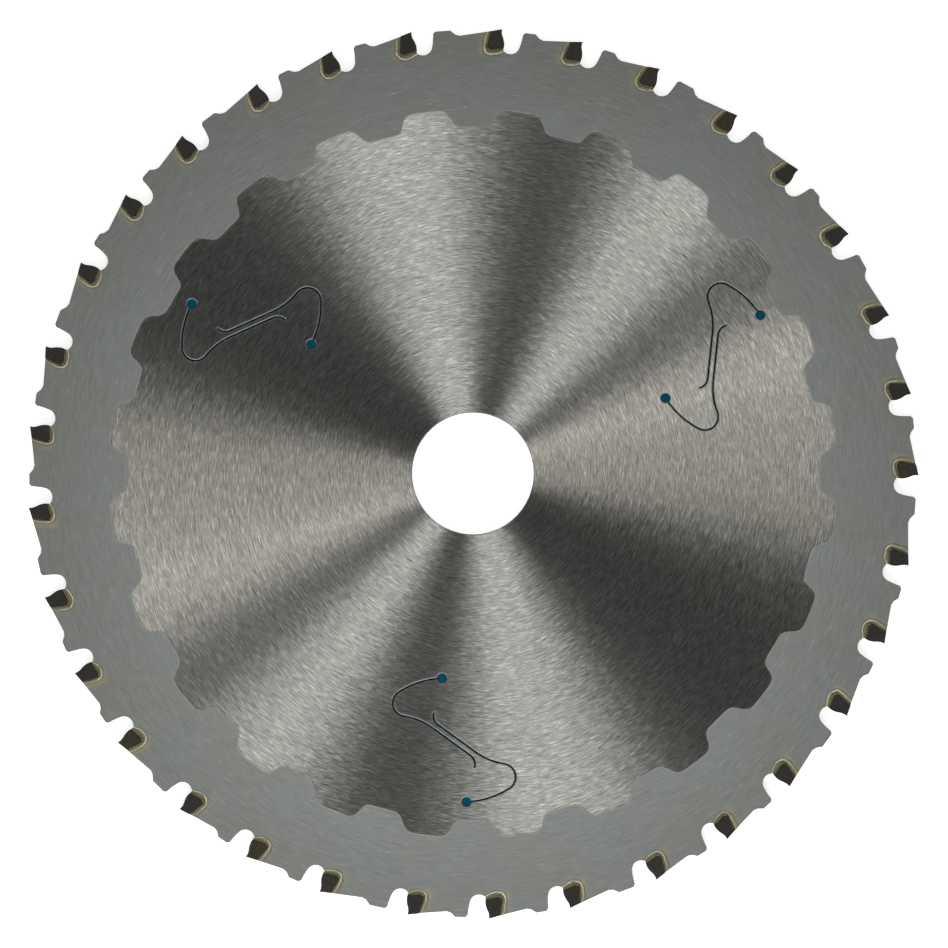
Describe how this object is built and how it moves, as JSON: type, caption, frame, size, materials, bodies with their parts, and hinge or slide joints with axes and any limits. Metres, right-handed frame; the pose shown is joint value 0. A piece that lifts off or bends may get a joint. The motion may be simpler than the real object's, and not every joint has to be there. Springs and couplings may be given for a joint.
{
  "type": "circular saw blade",
  "caption": "Thin circular saw blade for metal with a central bore, brazed carbide tips in unevenly spaced groups, chip-limiting shoulders and resin-filled damping cuts.",
  "frame": {"origin": "on the bore's axis, halfway through the plate", "axes": "+Z along the bore's axis, out of the face that the picture shows; +Y is up in the picture; seen from +Z the cutting faces look clockwise"},
  "size_m": [0.2196, 0.2195, 0.0024],
  "materials": {
    "plate_steel": "circularly brushed bare centre, satin grey coat on the rim",
    "carbide": "matt ground carbide",
    "braze": "satin silver braze",
    "resin": "satin cured resin"
  },
  "bodies": {
    "root": {"blade_body": "plate_steel", "tip_01": "carbide", "tip_02": "carbide", "tip_03": "carbide", "tip_04": "carbide", "tip_05": "carbide", "tip_06": "carbide", "tip_07": "carbide", "tip_08": "carbide", "tip_09": "carbide", "tip_10": "carbide", "tip_11": "carbide", "tip_12": "carbide", "tip_13": "carbide", "tip_14": "carbide", "tip_15": "carbide", "tip_16": "carbide", "tip_17": "carbide", "tip_18": "carbide", "tip_19": "carbide", "tip_20": "carbide", "tip_21": "carbide", "tip_22": "carbide", "tip_23": "carbide", "tip_24": "carbide", "tip_25": "carbide", "tip_26": "carbide", "tip_27": "carbide", "tip_28": "carbide", "tip_29": "carbide", "tip_30": "carbide", "tip_31": "carbide", "tip_32": "carbide", "tip_33": "carbide", "braze_seams": "braze", "damping_resin_1": "resin", "damping_resin_2": "resin", "damping_resin_3": "resin", "damping_resin_4": "resin", "damping_resin_5": "resin", "damping_resin_6": "resin"}
  },
  "joints": []
}
